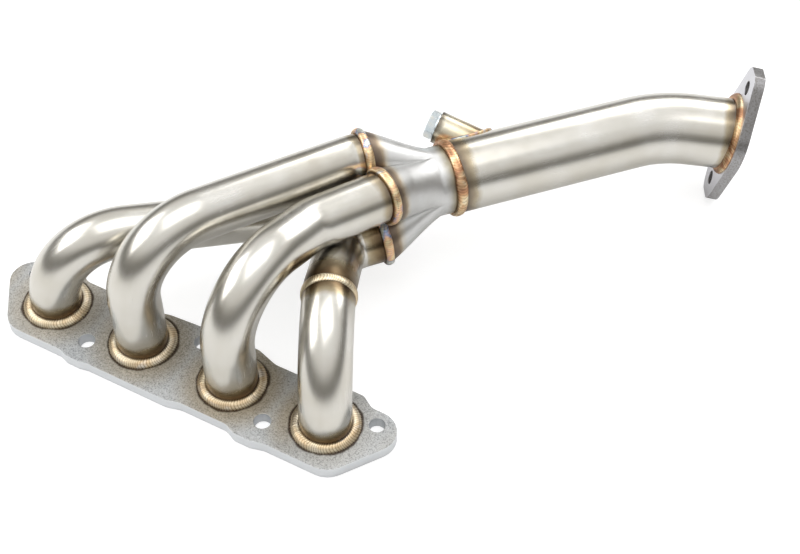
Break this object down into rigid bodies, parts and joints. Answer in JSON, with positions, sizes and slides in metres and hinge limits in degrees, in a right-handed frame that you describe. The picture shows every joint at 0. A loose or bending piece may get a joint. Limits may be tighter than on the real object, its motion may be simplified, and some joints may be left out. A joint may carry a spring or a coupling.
{
  "type": "exhaust manifold",
  "caption": "Four-into-one tubular exhaust manifold: flat port flange, bent runners, merge collector, down pipe with a tilted outlet flange and a plugged sensor boss.",
  "frame": {"origin": "centre of the port pattern, on the mating face of the head flange", "axes": "+X along the ports towards port 4, +Y away from the ports towards the outlet, +Z out of the head flange, up the runners"},
  "size_m": [0.5258, 0.4967, 0.1458],
  "materials": {
    "flange_plate": "blasted and zinc-washed plate, matt and finely speckled, with brown heat tint round the welds",
    "runner_steel": "satin stainless tube, finely brushed along its length",
    "pipe_steel": "satin stainless tube, finely brushed along its length",
    "collector_steel": "matt formed stainless",
    "weld_bead": "rippled weld bead tinted from straw to copper",
    "bung_steel": "turned steel",
    "zinc_plate": "blue zinc plate"
  },
  "bodies": {
    "manifold": {"head_flange": "flange_plate", "runner_1": "runner_steel", "runner_2": "runner_steel", "runner_3": "runner_steel", "runner_4_lower": "runner_steel", "runner_4_upper": "runner_steel", "port_weld_1": "weld_bead", "port_weld_2": "weld_bead", "port_weld_3": "weld_bead", "port_weld_4": "weld_bead", "runner_4_weld": "weld_bead", "inlet_weld_1": "weld_bead", "inlet_weld_2": "weld_bead", "inlet_weld_3": "weld_bead", "inlet_weld_4": "weld_bead", "collector": "collector_steel", "collector_spike": "collector_steel", "neck_weld": "weld_bead", "down_pipe": "pipe_steel", "outlet_weld": "weld_bead", "outlet_flange": "flange_plate", "sensor_boss": "pipe_steel", "boss_weld": "weld_bead", "sensor_bung": "bung_steel"},
    "washer": {"plug_washer": "zinc_plate"},
    "plug": {"sensor_plug": "zinc_plate"}
  },
  "joints": [
    {"name": "plug_travel", "type": "slide", "parent": "manifold", "child": "washer", "axis": [-0.9559, -0.1431, 0.2566], "range_m": [0, 0.0105]},
    {"name": "plug_turn", "type": "hinge", "parent": "washer", "child": "plug", "pos_m": [0.09091, 0.27098, 0.09224], "axis": [-0.9559, -0.1431, 0.2566], "range_deg": [0, 2520]}
  ],
  "couplings": [
    {"joint": "plug_travel", "follows": "plug_turn", "m_per_rad": 0.00023873}
  ]
}
